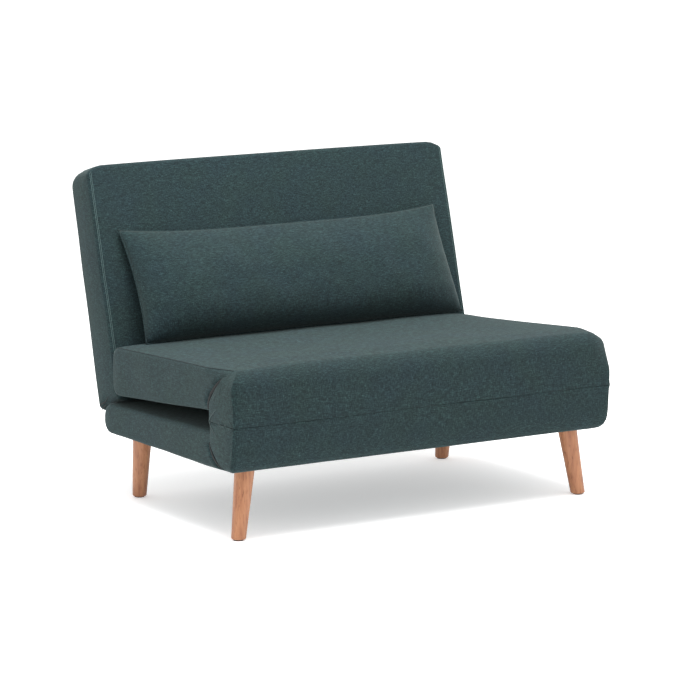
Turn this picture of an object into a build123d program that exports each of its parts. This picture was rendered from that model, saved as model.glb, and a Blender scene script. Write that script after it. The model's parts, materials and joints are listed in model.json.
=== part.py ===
from build123d import *
import os
from math import atan, cos, degrees, radians, sin, tan

# Futon sofa bed: a base on four wooden legs, a seat that folds forward off it on
# front hinges, a backrest that reclines flat on ratchet hinges, and a loose cushion.
# Side profiles are drawn in (y, z), with y = 0 at the fold hinge, y towards the rear
# and z = 0 at the floor. The backrest is drawn in (u, v) about its own pivot.

# Overall
width = 1200.0  # across the base and the seat
back_inset = 15.0  # backrest's side in from the base's side
leg_height = 190.0  # floor to the base's underside
base_length = 702.0  # fold hinge to the base's rear face
back_length = 654.0  # backrest along its front face
recline = 15.36  # backrest's lean from upright, degrees

# Panels
base_front_height = 96.0
base_rear_height = 82.7
fold_gap = 55.0  # between base and seat behind the lip
fold_gap_rear = 27.5
seat_front_thickness = 115.0
seat_rear_thickness = 133.0
back_bottom_thickness = 122.0
back_top_thickness = 96.0
lip_depth = 80.0  # foam lip that closes the gap at the fold
lip_ramp = 42.0
front_round = 45.0  # seat's front top edge
corner_round = 35.0
cloth = 2.5  # sleeve fabric with its wadding
running_gap = 0.8  # between parts that pass each other
part_gap = 0.3

# Frames
tube = 25.0
tube_wall = 1.5
slat_width = 52.0
slat_thickness = 8.0
slat_count = 9
slat_bow = 5.0
cap_length = 30.0

# Wooden legs
leg_top_radius = 27.0
leg_foot_radius = 19.5
leg_splay_x = 29.0
leg_splay_front = 15.0
leg_splay_rear = 22.0
leg_front_inset_x = 81.0  # from the base's side, at its underside
leg_rear_inset_x = 97.0
leg_front_y = 80.0
leg_rear_inset = 42.0  # from the base's rear face
glide_thickness = 3.0
plate_thickness = 4.0

# Fold hinges
hinge_barrel = 5.0
hinge_pin_radius = 2.5
hinge_width = 60.0
hinge_inset = 170.0  # outer hinges from the base's side
leaf_thickness = 3.0

# Ratchet hinges of the backrest
pivot_inset = 23.0  # from the base's rear face
pivot_height = 45.0  # above the base's underside
back_over_pivot = 47.0  # from the pivot to the backrest's front face
arm_thickness = 4.0
arm_width = 20.0
ratchet_radius = 18.0
ratchet_pin_radius = 5.0
arm_inset = 44.0  # from the base's side to the arm's inner face

# Folding legs
seat_leg_radius = 7.0  # cross shaft
seat_leg_width = 28.0
seat_leg_thickness = 5.0
seat_leg_setback = 30.0  # shaft from the seat's rear end
back_leg_radius = 9.0
back_leg_inset = 170.0  # from the base's side
back_leg_pivot = 464.0  # along the backrest from its lower end
back_leg_clear = 10.0
pin_fit = 0.06

# Loose cushion
cushion_inset = 82.0  # each end from the base's side
cushion_cloth = 2.0

# Worked out from the sizes above
half = width / 2
back_half = half - back_inset
arm_inner_x = half - arm_inset
leg_front_x = half - leg_front_inset_x
leg_rear_x = half - leg_rear_inset_x
hinge_spread = half - hinge_inset
back_leg_half = half - back_leg_inset
cushion_half = half - cushion_inset
hinge_z = leg_height + base_front_height + fold_gap / 2
lip_foot = lip_depth + lip_ramp
base_top_front = leg_height + base_front_height
base_top_rear = leg_height + base_rear_height
rear_round = 40.0
pivot_y = base_length - pivot_inset
pivot_z = leg_height + pivot_height
lean = radians(recline)
end_gap = (
    rear_round
    - sin(lean) * (rear_round - pivot_inset)
    + cos(lean) * (base_rear_height - rear_round - pivot_height)
    + 3.0
)
back_top = end_gap + back_length
rear_u_low = back_bottom_thickness - back_over_pivot
rear_u_top = back_top_thickness - back_over_pivot
rear_tilt = atan((rear_u_low - rear_u_top) / back_length)


def back_front_y(z):
    """Where the backrest's front face stands at height z."""
    v = (z - pivot_z - back_over_pivot * sin(lean)) / cos(lean)
    return pivot_y - back_over_pivot * cos(lean) + v * sin(lean)


seat_under_rear = base_top_rear + fold_gap_rear
seat_rear = back_front_y(seat_under_rear + 30.0) - 4.0
seat_under_front = base_top_front + fold_gap
under_slope = (seat_under_front - seat_under_rear) / (seat_rear - lip_foot)
seat_top_front = seat_under_front + seat_front_thickness
seat_top_rear = seat_under_rear + seat_rear_thickness
top_slope = (seat_top_front - seat_top_rear) / (seat_rear - lip_foot)
open_angle = 180 + degrees(atan(under_slope))
centre_y = (
    pivot_y
    + (back_top - front_round) * sin(lean)
    + (rear_u_top - front_round) * cos(lean)
    + front_round
    - hinge_barrel
) / 2


def seat_top(y):
    return seat_top_front - (y - lip_foot) * top_slope


def seat_under(y):
    return seat_under_front - (y - lip_foot) * under_slope


def seat_middle(y):
    return (seat_top(y) + seat_under(y)) / 2


middle_angle = degrees(atan((top_slope + under_slope) / 2))

side = Plane(origin=(0, -centre_y, 0), x_dir=(0, 1, 0), z_dir=(1, 0, 0))
back_side = Plane(
    origin=(0, pivot_y - centre_y, pivot_z),
    x_dir=(0, cos(lean), -sin(lean)),
    z_dir=(1, 0, 0),
)


def beside(x, plane=side):
    """The side plane moved across the sofa to x."""
    return plane.offset(x)


def outline(points, radii, plane, reach, inset=0.0):
    """A side profile with rounded corners, drawn in by inset, across the sofa."""
    with BuildPart() as block:
        with BuildSketch(plane):
            with BuildLine():
                FilletPolyline(*points, radius=radii, close=True)
            make_face()
            if inset:
                offset(amount=-inset, mode=Mode.REPLACE)
        extrude(amount=reach, both=True)
    return block.part


def bars(plane, *spans):
    """Boxes given as (x0, x1, y0, y1, z0, z1), the last four in a side plane."""
    with BuildPart() as boxes:
        for x0, x1, y0, y1, z0, z1 in spans:
            with BuildSketch(beside(x0, plane)):
                with Locations(((y0 + y1) / 2, (z0 + z1) / 2)):
                    Rectangle(y1 - y0, z1 - z0)
            extrude(amount=x1 - x0)
    return boxes.part


def rod(x0, x1, y, z, radius, plane=side):
    """A round bar across the sofa."""
    with BuildPart() as bar:
        with BuildSketch(beside(x0, plane)):
            with Locations((y, z)):
                Circle(radius)
        extrude(amount=x1 - x0)
    return bar.part


def rail_frame(plane, y0, y1, z, outer, inner_rails):
    """Welded tube frame: cross rails at y0 and y1, side rails, and further rails."""
    w = tube_wall
    spans = [
        (-outer, outer, y0, y0 + tube, z, z + tube),
        (-outer, outer, y1 - tube, y1, z, z + tube),
        (-outer, tube - outer, y0, y1, z, z + tube),
        (outer - tube, outer, y0, y1, z, z + tube),
    ]
    bores = [
        (-outer - 1, outer + 1, y0 + w, y0 + tube - w, z + w, z + tube - w),
        (-outer - 1, outer + 1, y1 - tube + w, y1 - w, z + w, z + tube - w),
        (w - outer, tube - outer - w, y0 + w, y1 - w, z + w, z + tube - w),
        (outer - tube + w, outer - w, y0 + w, y1 - w, z + w, z + tube - w),
    ]
    for x in inner_rails:
        spans.append((x - tube / 2, x + tube / 2, y0, y1, z, z + tube))
        bores.append((x - tube / 2 + w, x + tube / 2 - w, y0 + w, y1 - w, z + w, z + tube - w))
    with BuildPart() as frame:
        add(bars(plane, *spans))
        add(bars(plane, *bores), mode=Mode.SUBTRACT)
    return frame.part


def across(plane, y):
    """The plane square to a side plane at y, its second axis up."""
    run = plane.x_dir
    return Plane(origin=plane.origin + run * y, x_dir=(-1, 0, 0), z_dir=run)


def slat_places(y0, y1):
    """Front edges of the slats, evenly spaced from y0 to y1."""
    pitch = (y1 - y0 - slat_width) / (slat_count - 1)
    return [y0 + n * pitch for n in range(slat_count)]


def slat_set(plane, y0, y1, z, reach, rise):
    """Bowed slats across a frame."""
    with BuildPart() as slats:
        for front in slat_places(y0, y1):
            with BuildSketch(across(plane, front)):
                with BuildLine():
                    low = ThreePointArc((-reach, z), (0, z + rise), (reach, z))
                    high = ThreePointArc(
                        (-reach, z + slat_thickness),
                        (0, z + rise + slat_thickness),
                        (reach, z + slat_thickness),
                    )
                    Line(low @ 0, high @ 0)
                    Line(low @ 1, high @ 1)
                make_face()
            extrude(amount=slat_width)
    return slats


def slat_caps(plane, y0, y1, z, reach, rise, outer):
    """Moulded end caps that hold the slats on the side rails."""
    wall = 2.0
    with BuildPart() as caps:
        for front in slat_places(y0, y1):
            for x0, x1 in ((-outer, cap_length - outer), (outer - cap_length, outer)):
                add(bars(plane, (x0, x1, front - wall, front + slat_width + wall,
                                 z - wall, z + slat_thickness + wall + 1)))
        add(slat_set(plane, y0, y1, z, reach, rise).part, mode=Mode.SUBTRACT)
    return caps


os.makedirs("parts", exist_ok=True)


def save(piece, name):
    piece.part.label = name
    export_step(piece.part, f"parts/{name}.step")


# Base: outline of its sleeve, with the foam lip that meets the seat at the fold
front_face = 1.0
base_line = [
    (front_face, hinge_z - running_gap),
    (lip_depth, hinge_z - running_gap),
    (lip_foot, base_top_front),
    (base_length, base_top_rear),
    (base_length, leg_height),
    (front_face, leg_height),
]
base_radii = [8, 15, 25, rear_round, 22, 28]
base_rail_z = leg_height + 9.0
base_outer = arm_inner_x + arm_thickness + 0.6 + plate_thickness + tube
lower_leaf_y = front_face + 16.0
frame_front = lower_leaf_y + leaf_thickness
base_frame_rear = pivot_y - ratchet_radius - 12
leg_rear_y = base_length - leg_rear_inset
leg_rail_drop = 3.0
leg_places = [
    ("front_left", -leg_front_x, leg_front_y, -leg_splay_x, -leg_splay_front),
    ("front_right", leg_front_x, leg_front_y, leg_splay_x, -leg_splay_front),
    ("rear_left", -leg_rear_x, leg_rear_y, 0.0, leg_splay_rear),
    ("rear_right", leg_rear_x, leg_rear_y, 0.0, leg_splay_rear),
]
leg_head = leg_height + 3.0  # tops stand inside the sleeve, under their plates
hinge_places = [-hinge_spread, 0.0, hinge_spread]

with BuildPart() as base_frame:
    add(rail_frame(side, frame_front, base_frame_rear, base_rail_z, base_outer, [0.0]))
    for x in (-leg_rear_x - 8, leg_rear_x + 8):
        top = base_rail_z + tube - leg_rail_drop
        add(bars(side, (x - tube / 2, x + tube / 2, frame_front + tube,
                        base_frame_rear - tube, base_rail_z, top)))
        add(bars(side, (x - tube / 2, x + tube / 2, base_frame_rear, leg_rear_y + 22,
                        base_rail_z, top)))
save(base_frame, "base_frame")

base_slat_z = base_rail_z + tube + 2.4
base_reach = base_outer - 5
slat_start, slat_end = frame_front + 22, base_frame_rear - 8
base_slats = slat_set(side, slat_start, slat_end, base_slat_z, base_reach, slat_bow)
save(base_slats, "base_slats")
base_slat_caps = slat_caps(side, slat_start, slat_end, base_slat_z, base_reach, slat_bow,
                          base_outer)
save(base_slat_caps, "base_slat_caps")


def leg_cone(x, y, dx, dy, grow=0.0):
    """A tapered round leg along its splayed axis, longer than it needs at both ends."""
    foot = Vector(x + dx, y + dy - centre_y, 0)
    head = Vector(x, y - centre_y, leg_height)
    axis = (head - foot).normalized()
    length = (head - foot).length
    taper = (leg_top_radius - leg_foot_radius) / length
    extra = 20.0
    plane = Plane(origin=foot - axis * extra, z_dir=axis)
    with BuildPart(plane) as cone:
        Cone(
            leg_foot_radius - taper * extra + grow,
            leg_top_radius + taper * extra + grow,
            length + 2 * extra,
            align=(Align.CENTER, Align.CENTER, Align.MIN),
        )
    return cone.part


for name, x, y, dx, dy in leg_places:
    with BuildPart() as leg:
        add(leg_cone(x, y, dx, dy))
        with BuildSketch(Plane((x + dx / 2, y + dy / 2 - centre_y, glide_thickness))):
            Rectangle(200, 200)
        extrude(amount=leg_head - glide_thickness, mode=Mode.INTERSECT)
        fillet(leg.edges().sort_by(Axis.Z)[0], 4.0)
        with BuildSketch(Plane((x, y - centre_y, leg_head))):
            Circle(4.0)
        extrude(amount=-35, mode=Mode.SUBTRACT)
    save(leg, f"leg_{name}")

with BuildPart() as foot_glides:
    for name, x, y, dx, dy in leg_places:
        with BuildSketch(Plane((x + dx, y + dy - centre_y, 0))):
            Circle(leg_foot_radius - 6)
        extrude(amount=glide_thickness)
save(foot_glides, "foot_glides")

with BuildPart() as leg_plates:
    for name, x, y, dx, dy in leg_places:
        with BuildSketch(Plane((x, y - centre_y, leg_head))):
            Rectangle(44, 44)
            Circle(4.2, mode=Mode.SUBTRACT)
        extrude(amount=base_rail_z - leg_head)
save(leg_plates, "leg_plates")

with BuildPart() as leg_bolts:
    for name, x, y, dx, dy in leg_places:
        with BuildSketch(Plane((x, y - centre_y, leg_head - 34))):
            Circle(3.95)
        extrude(amount=34 + base_rail_z - leg_head)
save(leg_bolts, "leg_bolts")


def hinge_notches(z0, z1):
    """Room in a sleeve or foam for the fold hinges' knuckles."""
    w = hinge_width / 2 + 3
    return bars(side, *[(x - w, x + w, -20, 12, z0, z1) for x in hinge_places])


arm_slots = [
    (x - 1.5, x + arm_thickness + 1.5, pivot_y - 14, base_length + 5,
     pivot_z - arm_width / 2 - 3, base_top_rear + 20)
    for x in (arm_inner_x, -arm_inner_x - arm_thickness)
]
opening_half, opening_front, opening_rear = half - 40, 40.0, base_length - 42

with BuildPart() as base_cover:
    add(outline(base_line, base_radii, side, half))
    add(outline(base_line, base_radii, side, half - cloth, cloth), mode=Mode.SUBTRACT)
    add(bars(side, (-opening_half, opening_half, opening_front, opening_rear,
                    leg_height - 1, leg_height + cloth + 1)), mode=Mode.SUBTRACT)
    add(bars(side, *arm_slots), mode=Mode.SUBTRACT)
    add(hinge_notches(hinge_z - 14, hinge_z + 5), mode=Mode.SUBTRACT)
    for name, x, y, dx, dy in leg_places:
        add(leg_cone(x, y, dx, dy, 0.5), mode=Mode.SUBTRACT)
save(base_cover, "base_cover")

with BuildPart() as dust_cover:
    add(bars(side, (part_gap - opening_half, opening_half - part_gap, opening_front + part_gap,
                    opening_rear - part_gap, leg_height + 0.5, leg_height + 2.0)))
    for name, x, y, dx, dy in leg_places:
        add(leg_cone(x, y, dx, dy, 0.5), mode=Mode.SUBTRACT)
save(dust_cover, "dust_cover")

foam_low = base_slat_z + slat_thickness + 6.0
with BuildPart() as base_foam:
    add(outline(base_line, base_radii, side, half - cloth - 1, cloth + part_gap))
    add(bars(side, (-half, half, -10, base_length, leg_height - 5, foam_low),
             (-half, half, -10, frame_front + 1, foam_low - 5, hinge_z + 5)),
        mode=Mode.SUBTRACT)
    for x in (arm_inner_x, -arm_inner_x):
        add(bars(side, (x - 16, x + 16, pivot_y - ratchet_radius - 3, base_length + 5,
                        pivot_z - arm_width, base_top_rear + 20)), mode=Mode.SUBTRACT)
    add(hinge_notches(hinge_z - 20, hinge_z + 5), mode=Mode.SUBTRACT)
save(base_foam, "base_foam")


# Fold hinges: strap leaves on the two front rails, a knuckle each side of the seat's
upper_face = 4.5
face_lean = 10.0  # the seat's front leans back, to clear the base when it is open
upper_leaf_y = upper_face + face_lean
third = hinge_width / 3
hinge_half = hinge_width / 2
seat_rail_z = seat_middle(upper_leaf_y + tube / 2) - tube / 2


def knuckles(spans, leaf_back, z0, z1):
    """Barrels over the hinge pin, with the webs that join them to their leaf."""
    with BuildPart() as rolled:
        for x0, x1 in spans:
            add(rod(x0, x1, 0, hinge_z, hinge_barrel))
            add(bars(side, (x0, x1, 0, leaf_back, z0, z1)))
            add(rod(x0, x1, 0, hinge_z, hinge_pin_radius + pin_fit), mode=Mode.SUBTRACT)
    return rolled.part


with BuildPart() as fold_hinge_lower_leaves:
    for x in hinge_places:
        back = lower_leaf_y + leaf_thickness
        add(bars(side, (x - hinge_half, x + hinge_half, lower_leaf_y, back,
                        base_rail_z, hinge_z - hinge_barrel - 1)))
        outer_spans = [(x - hinge_half, x - third / 2 - part_gap),
                       (x + third / 2 + part_gap, x + hinge_half)]
        add(knuckles(outer_spans, back, hinge_z - hinge_barrel - 1.5, hinge_z - hinge_barrel + 1))
save(fold_hinge_lower_leaves, "fold_hinge_lower_leaves")

with BuildPart() as fold_hinge_upper_leaves:
    for x in hinge_places:
        back = upper_leaf_y + leaf_thickness
        add(bars(side, (x - hinge_half, x + hinge_half, upper_leaf_y, back,
                        hinge_z + hinge_barrel + 1, seat_rail_z + tube)))
        add(knuckles([(x - third / 2, x + third / 2)], back,
                     hinge_z + hinge_barrel - 1, hinge_z + hinge_barrel + 1.5))
save(fold_hinge_upper_leaves, "fold_hinge_upper_leaves")

with BuildPart() as fold_hinge_pins:
    for x in hinge_places:
        add(rod(x - hinge_half - 1, x + hinge_half + 1, 0, hinge_z, hinge_pin_radius))
save(fold_hinge_pins, "fold_hinge_pins")

# Seat: its sleeve tapers towards the fold, its underside is the bed's surface
seat_line = [
    (upper_face, hinge_z + running_gap),
    (lip_depth, hinge_z + running_gap),
    (lip_foot, seat_under_front),
    (seat_rear, seat_under_rear),
    (seat_rear, seat_top(seat_rear)),
    (upper_face + face_lean, seat_top(upper_face + face_lean)),
    (upper_face, seat_under_front + 20),
]
seat_radii = [8, 15, 25, 30, corner_round, front_round, 60]
seat_tilt = Plane(
    origin=(0, upper_leaf_y + leaf_thickness + 1 - centre_y, seat_middle(upper_leaf_y)),
    x_dir=Vector(0, 1, -tan(radians(middle_angle))).normalized(),
    z_dir=(1, 0, 0),
)
seat_leg_y = seat_rear - seat_leg_setback
seat_leg_z = seat_top(seat_leg_y) - 50.0
seat_frame_end = (seat_leg_y - 15 - upper_leaf_y - leaf_thickness) / cos(radians(middle_angle))
seat_leg_x = half - cloth - 4.0 - seat_leg_thickness
seat_outer = seat_leg_x - 8.0

with BuildPart() as seat_frame:
    add(rail_frame(seat_tilt, 0, seat_frame_end, -tube / 2, seat_outer, [0.0]))
save(seat_frame, "seat_frame")

seat_slat_low = tube / 2 + 2.4
seat_slats = slat_set(seat_tilt, tube + 4, seat_frame_end - tube, seat_slat_low,
                      seat_outer - 5, slat_bow)
save(seat_slats, "seat_slats")
seat_slat_caps = slat_caps(seat_tilt, tube + 4, seat_frame_end - tube, seat_slat_low,
                           seat_outer - 5, slat_bow, seat_outer)
save(seat_slat_caps, "seat_slat_caps")

turn = radians(open_angle)
seat_leg_reach = (
    hinge_z + seat_leg_y * sin(turn) + (seat_leg_z - hinge_z) * cos(turn)
)
top_angle = degrees(atan(top_slope))
leg_line = Plane(
    origin=(0, seat_leg_y - centre_y, seat_leg_z),
    x_dir=Vector(0, -cos(radians(top_angle)), sin(radians(top_angle))),
    z_dir=(-1, 0, 0),
)  # along a stored leg, from its shaft towards the fold

with BuildPart() as leg_pockets:
    for x in (seat_leg_x, -seat_leg_x - seat_leg_thickness):
        with BuildSketch(beside(x - 1.5)):
            with BuildLine():
                Polyline(
                    (seat_leg_y - seat_leg_reach - 12, seat_leg_z),
                    (seat_leg_y + 20, seat_leg_z),
                    (seat_leg_y + 20, seat_top_front + 40),
                    (seat_leg_y - seat_leg_reach - 12, seat_top_front + 40),
                    close=True,
                )
            make_face()
        extrude(amount=seat_leg_thickness + 3)

with BuildPart() as seat_cover:
    add(outline(seat_line, seat_radii, side, half))
    add(outline(seat_line, seat_radii, side, half - cloth, cloth), mode=Mode.SUBTRACT)
    add(hinge_notches(hinge_z - 5, hinge_z + 14), mode=Mode.SUBTRACT)
    add(leg_pockets.part, mode=Mode.SUBTRACT)
save(seat_cover, "seat_cover")

foam_reach = seat_outer + 2
shaft_room = (-half, half, seat_leg_y - 17, seat_leg_y + 13, seat_leg_z - 20, seat_leg_z + 13)
with BuildPart() as seat_foam:
    add(outline(seat_line, seat_radii, side, foam_reach, cloth + part_gap))
    with BuildSketch(seat_tilt):
        with Locations((seat_frame_end / 2, 0)):
            Rectangle(seat_frame_end + 200, tube + 1.0)
    extrude(amount=half, both=True, mode=Mode.SUBTRACT)
    with BuildSketch(seat_tilt):
        with Locations((seat_frame_end / 2, seat_slat_low + 8)):
            Rectangle(seat_frame_end + 2, 2 * seat_slat_low)
    extrude(amount=half, both=True, mode=Mode.SUBTRACT)
    add(bars(side, shaft_room, (-half, half, -20, upper_leaf_y + leaf_thickness + 1,
                                hinge_z - 5, seat_rail_z + tube + 4)), mode=Mode.SUBTRACT)
    add(hinge_notches(hinge_z - 5, hinge_z + 20), mode=Mode.SUBTRACT)
save(seat_foam, "seat_foam")

# Seat's folding legs: a cross shaft with a flat bar and a rubber foot at each end
foot_pad = 6.0
with BuildPart() as seat_leg_shaft:
    reach = seat_leg_x + seat_leg_thickness
    add(rod(-reach, reach, seat_leg_y, seat_leg_z, seat_leg_radius))
save(seat_leg_shaft, "seat_leg_shaft")
for name, x in (("left", -seat_leg_x - seat_leg_thickness), ("right", seat_leg_x)):
    with BuildPart() as bar:
        plane = leg_line.offset(-x)
        with BuildSketch(plane):
            with Locations(((seat_leg_reach - foot_pad) / 2, 0)):
                Rectangle(seat_leg_reach - foot_pad, seat_leg_width)
            Circle(seat_leg_width / 2)
            Circle(seat_leg_radius + pin_fit, mode=Mode.SUBTRACT)
        extrude(amount=-seat_leg_thickness)
    save(bar, f"seat_leg_{name}")
with BuildPart() as seat_leg_feet:
    for x in (-seat_leg_x - seat_leg_thickness, seat_leg_x):
        with BuildSketch(leg_line.offset(-x)):
            with Locations((seat_leg_reach - foot_pad / 2, 0)):
                Rectangle(foot_pad, seat_leg_width)
        extrude(amount=-seat_leg_thickness)
save(seat_leg_feet, "seat_leg_feet")

with BuildPart() as seat_leg_brackets:
    for x in (-seat_outer + 30, -150, 150, seat_outer - 34):
        with BuildSketch(beside(x)):
            with BuildLine():
                Polyline(
                    (seat_leg_y - 14, seat_middle(seat_leg_y) - 10),
                    (seat_leg_y + 11, seat_leg_z - 12),
                    (seat_leg_y + 11, seat_leg_z + 11),
                    (seat_leg_y - 11, seat_leg_z + 11),
                    close=True,
                )
            make_face()
            with Locations((seat_leg_y, seat_leg_z)):
                Circle(seat_leg_radius + pin_fit, mode=Mode.SUBTRACT)
        extrude(amount=4)
save(seat_leg_brackets, "seat_leg_brackets")

# Backrest, drawn in (u, v): u out of its front face from the pivot, v up its length
back_line = [
    (-back_over_pivot, end_gap),
    (rear_u_low, end_gap),
    (rear_u_top, back_top),
    (-back_over_pivot, back_top),
]
back_radii = [14, corner_round, front_round, 12]
arm_reach = 150.0
back_rail_u = -back_over_pivot + 45.0
back_outer = arm_inner_x - part_gap
back_start = end_gap + 10.0
back_end = back_top - 22.0

with BuildPart() as back_frame:
    for x0, x1, v0, v1 in (
        (-back_outer, back_outer, back_start, back_start + tube),
        (-back_outer, back_outer, back_end - tube, back_end),
        (-back_outer, tube - back_outer, back_start, back_end),
        (back_outer - tube, back_outer, back_start, back_end),
        (-tube / 2, tube / 2, back_start, back_end),
    ):
        add(bars(back_side, (x0, x1, back_rail_u, back_rail_u + tube, v0, v1)))
    w = tube_wall
    for x0, x1, v0, v1 in (
        (-back_outer - 1, back_outer + 1, back_start + w, back_start + tube - w),
        (-back_outer - 1, back_outer + 1, back_end - tube + w, back_end - w),
        (w - back_outer, tube - back_outer - w, back_start + w, back_end - w),
        (back_outer - tube + w, back_outer - w, back_start + w, back_end - w),
        (w - tube / 2, tube / 2 - w, back_start + w, back_end - w),
    ):
        add(bars(back_side, (x0, x1, back_rail_u + w, back_rail_u + tube - w, v0, v1)),
            mode=Mode.SUBTRACT)
save(back_frame, "back_frame")

def back_across(v):
    return Plane(origin=back_side.origin + back_side.y_dir * v, x_dir=(1, 0, 0),
                 z_dir=back_side.y_dir)


slat_back = back_rail_u - 2.4  # slats lie on the frame's front, and bow forward
slat_front = slat_back - slat_thickness
back_slat_starts = [
    back_start + tube + 4 + n * (back_end - back_start - 2 * tube - 8 - slat_width)
    / (slat_count - 1)
    for n in range(slat_count)
]


def bowed(v, reach):
    """One slat on the backrest's frame, bowed towards its front face."""
    with BuildPart() as slat:
        with BuildSketch(back_across(v)):
            with BuildLine():
                near = ThreePointArc((-reach, slat_front), (0, slat_front - slat_bow),
                                     (reach, slat_front))
                far = ThreePointArc((-reach, slat_back), (0, slat_back - slat_bow),
                                    (reach, slat_back))
                Line(near @ 0, far @ 0)
                Line(near @ 1, far @ 1)
            make_face()
        extrude(amount=slat_width)
    return slat.part


with BuildPart() as back_slats:
    for v in back_slat_starts:
        add(bowed(v, back_outer - 5))
save(back_slats, "back_slats")

with BuildPart() as back_slat_caps:
    for v in back_slat_starts:
        for x0, x1 in ((-back_outer, cap_length - back_outer), (back_outer - cap_length, back_outer)):
            add(bars(back_side, (x0, x1, slat_front - 3, slat_back + 2,
                                 v - 2, v + slat_width + 2)))
    add(back_slats.part, mode=Mode.SUBTRACT)
save(back_slat_caps, "back_slat_caps")

arm_spans = [(x, x + arm_thickness) for x in (arm_inner_x, -arm_inner_x - arm_thickness)]
with BuildPart() as back_cover:
    add(outline(back_line, back_radii, back_side, back_half))
    add(outline(back_line, back_radii, back_side, back_half - cloth, cloth), mode=Mode.SUBTRACT)
    add(bars(back_side, *[(x0 - 1, x1 + 1, -arm_width / 2 - 2, arm_width / 2 + 2,
                           end_gap - 5, end_gap + cloth + 1) for x0, x1 in arm_spans]),
        mode=Mode.SUBTRACT)
save(back_cover, "back_cover")

with BuildPart() as back_foam:
    add(outline(back_line, back_radii, back_side, back_half - cloth - 1, cloth + part_gap))
    add(bars(back_side, (-half, half, slat_front - 6, rear_u_low + 10,
                         end_gap - 5, back_top + 5)), mode=Mode.SUBTRACT)
save(back_foam, "back_foam")

with BuildPart() as back_rear_pad:
    add(outline(back_line, back_radii, back_side, back_half - cloth - 1, cloth + part_gap))
    add(bars(back_side, (-half, half, -back_over_pivot - 5, back_rail_u + tube + 0.5,
                         end_gap - 5, back_top + 5)), mode=Mode.SUBTRACT)
save(back_rear_pad, "back_rear_pad")

# Ratchet hinges: a fixed plate on the base, an arm on the backrest, a pin through both
for name, sign in (("left", -1), ("right", 1)):
    x_arm = arm_inner_x if sign > 0 else -arm_inner_x - arm_thickness
    x_plate = x_arm + arm_thickness + 0.5 if sign > 0 else x_arm - 0.5 - plate_thickness
    with BuildPart() as plate:
        with BuildSketch(beside(x_plate)):
            with Locations((pivot_y, pivot_z)):
                Circle(ratchet_radius)
            with BuildLine():
                Polyline(
                    (pivot_y, pivot_z + ratchet_radius - 4),
                    (base_frame_rear, base_rail_z + tube),
                    (base_frame_rear, base_rail_z),
                    (pivot_y, base_rail_z + 20),
                    close=True,
                )
            make_face()
            with Locations((pivot_y, pivot_z)):
                Circle(ratchet_pin_radius + pin_fit, mode=Mode.SUBTRACT)
        extrude(amount=plate_thickness)
    save(plate, f"ratchet_plate_{name}")
    with BuildPart() as arm:
        with BuildSketch(beside(x_arm, back_side)):
            Circle(ratchet_radius - 3)
            with Locations((0, arm_reach / 2)):
                Rectangle(arm_width, arm_reach)
            Circle(ratchet_pin_radius + pin_fit, mode=Mode.SUBTRACT)
        extrude(amount=arm_thickness)
    save(arm, f"ratchet_arm_{name}")

with BuildPart() as ratchet_pins:
    for sign in (-1, 1):
        inner, outer = arm_inner_x - 4, arm_inner_x + arm_thickness + plate_thickness + 4
        x0, x1 = (inner, outer) if sign > 0 else (-outer, -inner)
        add(rod(x0, x1, pivot_y, pivot_z, ratchet_pin_radius))
save(ratchet_pins, "ratchet_pins")

# Backrest's support leg: a bent tube hinged on two brackets at its rear
pivot_v = end_gap + back_leg_pivot
rear_u = rear_u_low - (pivot_v - end_gap) * tan(rear_tilt)
leg_u = rear_u + back_leg_radius + back_leg_clear
back_leg_reach = pivot_z - leg_u
bar_drop = back_leg_reach - back_leg_radius - 2.0
bend = 40.0
pin_radius = 4.0
tube_end = 10.0  # past the pin
leg_plane = Plane(origin=back_side.origin + back_side.x_dir * leg_u, x_dir=(1, 0, 0),
                  z_dir=back_side.x_dir * -1)
with BuildPart() as back_leg_tube:
    with BuildLine(leg_plane):
        FilletPolyline(
            (-back_leg_half, pivot_v + tube_end),
            (-back_leg_half, pivot_v - bar_drop),
            (back_leg_half, pivot_v - bar_drop),
            (back_leg_half, pivot_v + tube_end),
            radius=bend,
        )
    with BuildSketch(Plane(origin=leg_plane.from_local_coords((-back_leg_half, pivot_v + tube_end, 0)),
                           z_dir=back_side.y_dir * -1)):
        Circle(back_leg_radius)
        Circle(back_leg_radius - tube_wall, mode=Mode.SUBTRACT)
    sweep()
    for x in (-back_leg_half, back_leg_half):
        add(rod(x - 12, x + 12, leg_u, pivot_v, pin_radius + pin_fit, back_side),
            mode=Mode.SUBTRACT)
save(back_leg_tube, "back_leg_tube")

ear_gap, ear = back_leg_radius + 1.0, 3.0
with BuildPart() as back_leg_brackets:
    for x in (-back_leg_half, back_leg_half):
        base_u = rear_u + 1.4
        add(bars(back_side, (x - 22, x + 22, base_u, base_u + ear, pivot_v - 24, pivot_v + 24)))
        for x0 in (x - ear_gap - ear, x + ear_gap):
            add(bars(back_side, (x0, x0 + ear, base_u, leg_u + 8, pivot_v - 9, pivot_v + 9)))
        add(rod(x - 30, x + 30, leg_u, pivot_v, pin_radius, back_side), mode=Mode.SUBTRACT)
save(back_leg_brackets, "back_leg_brackets")

with BuildPart() as back_leg_pins:
    for x in (-back_leg_half, back_leg_half):
        add(rod(x - ear_gap - ear, x + ear_gap + ear, leg_u, pivot_v, pin_radius, back_side))
save(back_leg_pins, "back_leg_pins")

# Loose cushion: a knife-edged case with a filling, on the seat against the backrest
cushion_tall = 294.0
low_y = back_front_y(seat_top(seat_rear - 30)) - 65
low_z = seat_top(low_y) + 6.0
high_z = low_z + cushion_tall
high_y = back_front_y(high_z) - 28.0


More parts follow.
